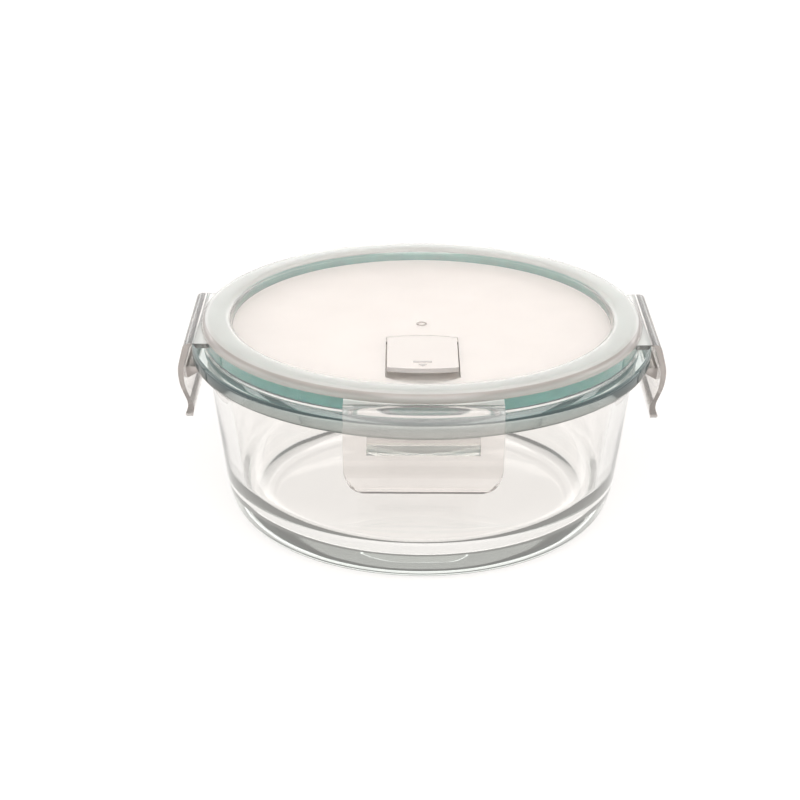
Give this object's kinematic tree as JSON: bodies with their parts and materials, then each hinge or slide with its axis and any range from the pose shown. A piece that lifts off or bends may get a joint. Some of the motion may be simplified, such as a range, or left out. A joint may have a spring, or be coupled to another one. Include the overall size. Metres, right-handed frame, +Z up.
{
  "type": "glass food storage container",
  "caption": "Round glass food container with a clip-on plastic lid, silicone seal, snap latches hooked under the glass flange, and a flip-up steam vent.",
  "frame": {"origin": "centre of the base, on the surface the bowl stands on", "axes": "+Z up, -Y towards the side with the vent's finger notch, +X to the right seen from there"},
  "size_m": [0.1602, 0.1602, 0.069],
  "materials": {
    "glass": "clear pressed glass",
    "lid_plastic": "satin translucent",
    "latch_plastic": "satin translucent",
    "silicone": "matt",
    "plug_silicone": "matt"
  },
  "bodies": {
    "container": {"glass_bowl": "glass", "lid": "lid_plastic", "gasket_ring": "silicone", "hinge_web_right": "latch_plastic", "hinge_web_back": "latch_plastic", "hinge_web_left": "latch_plastic", "hinge_web_front": "latch_plastic"},
    "latch_right": {"latch_right": "latch_plastic"},
    "latch_back": {"latch_back": "latch_plastic"},
    "latch_left": {"latch_left": "latch_plastic"},
    "latch_front": {"latch_front": "latch_plastic"},
    "vent_flap": {"vent_flap": "lid_plastic", "vent_plug": "plug_silicone"}
  },
  "joints": [
    {"name": "latch_right_hinge", "type": "hinge", "parent": "container", "child": "latch_right", "pos_m": [0.075, 0, 0.06575], "axis": [0, -1, 0], "range_deg": [0, 110], "deforming": ["hinge_web_right"]},
    {"name": "latch_back_hinge", "type": "hinge", "parent": "container", "child": "latch_back", "pos_m": [0, 0.075, 0.06575], "axis": [1, 0, 0], "range_deg": [0, 110], "deforming": ["hinge_web_back"]},
    {"name": "latch_left_hinge", "type": "hinge", "parent": "container", "child": "latch_left", "pos_m": [-0.075, 0, 0.06575], "axis": [0, 1, 0], "range_deg": [0, 110], "deforming": ["hinge_web_left"]},
    {"name": "latch_front_hinge", "type": "hinge", "parent": "container", "child": "latch_front", "pos_m": [0, -0.075, 0.06575], "axis": [-1, 0, 0], "range_deg": [0, 110], "deforming": ["hinge_web_front"]},
    {"name": "vent_flap_hinge", "type": "hinge", "parent": "container", "child": "vent_flap", "pos_m": [0, -0.0166, 0.0636], "axis": [-1, 0, 0], "range_deg": [0, 90]}
  ]
}
